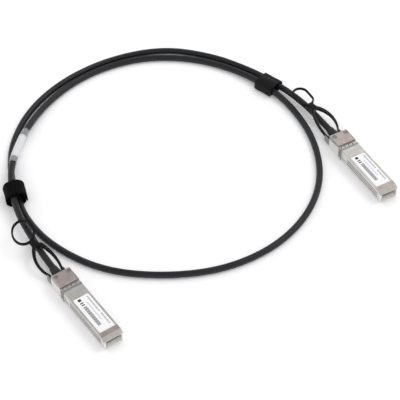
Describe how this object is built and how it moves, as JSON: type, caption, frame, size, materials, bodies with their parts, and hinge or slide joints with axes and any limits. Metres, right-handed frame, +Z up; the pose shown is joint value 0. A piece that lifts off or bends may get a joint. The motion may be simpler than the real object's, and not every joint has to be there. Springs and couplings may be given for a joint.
{
  "type": "direct attach copper cable",
  "caption": "Short copper network cable laid in a tied loop, with a metal pluggable end on each side and a black pull tab that releases its latch.",
  "frame": {"origin": "on the floor, under the centre of the box that holds the two plugs with their pull tabs", "axes": "+Z up; +X to the right across both plugs, their longest extent together; +Y away from the noses of the plugs"},
  "size_m": [0.2582, 0.27, 0.0121],
  "materials": {
    "plated_zinc": "satin nickel plating on die-cast zinc",
    "steel": "bright spring steel",
    "circuit_board": "olive solder mask",
    "gold": "gold flash",
    "chip": "matt moulded",
    "core_insulation": "foil wrapped",
    "boot_rubber": "satin",
    "tab_plastic": "glossy moulded",
    "label": "matt paper",
    "jacket": "satin jacket",
    "tie_cloth": "hook-and-loop cloth",
    "clear_sleeve": "clear shrink film"
  },
  "bodies": {
    "cable_and_plugs": {"plug_a_lower_shell": "plated_zinc", "plug_a_top_cover": "plated_zinc", "plug_a_cover_rivets": "steel", "plug_a_emi_collar": "steel", "plug_a_paddle_card": "circuit_board", "plug_a_contact_pads": "gold", "plug_a_memory_chip": "chip", "plug_a_core_wires": "core_insulation", "plug_a_crimp_ferrule": "steel", "plug_a_strain_relief": "boot_rubber", "plug_a_return_spring": "steel", "plug_a_product_label": "label", "plug_b_lower_shell": "plated_zinc", "plug_b_top_cover": "plated_zinc", "plug_b_cover_rivets": "steel", "plug_b_emi_collar": "steel", "plug_b_paddle_card": "circuit_board", "plug_b_contact_pads": "gold", "plug_b_memory_chip": "chip", "plug_b_core_wires": "core_insulation", "plug_b_crimp_ferrule": "steel", "plug_b_strain_relief": "boot_rubber", "plug_b_return_spring": "steel", "plug_b_product_label": "label", "cable_jacket": "jacket", "left_tie": "tie_cloth", "right_tie": "tie_cloth", "label_sleeve": "clear_sleeve", "cable_label": "label"},
    "latch_a": {"plug_a_latch_slider": "steel", "plug_a_pull_tab": "tab_plastic"},
    "latch_b": {"plug_b_latch_slider": "steel", "plug_b_pull_tab": "tab_plastic"}
  },
  "joints": [
    {"name": "latch_release_a", "type": "slide", "parent": "cable_and_plugs", "child": "latch_a", "axis": [-0.5793, 0.8151, 0], "range_m": [0, 0.0025], "stiffness_N_per_m": 600, "deforming": ["plug_a_return_spring"]},
    {"name": "latch_release_b", "type": "slide", "parent": "cable_and_plugs", "child": "latch_b", "axis": [-0.503, 0.8643, 0], "range_m": [0, 0.0025], "stiffness_N_per_m": 600, "deforming": ["plug_b_return_spring"]}
  ]
}
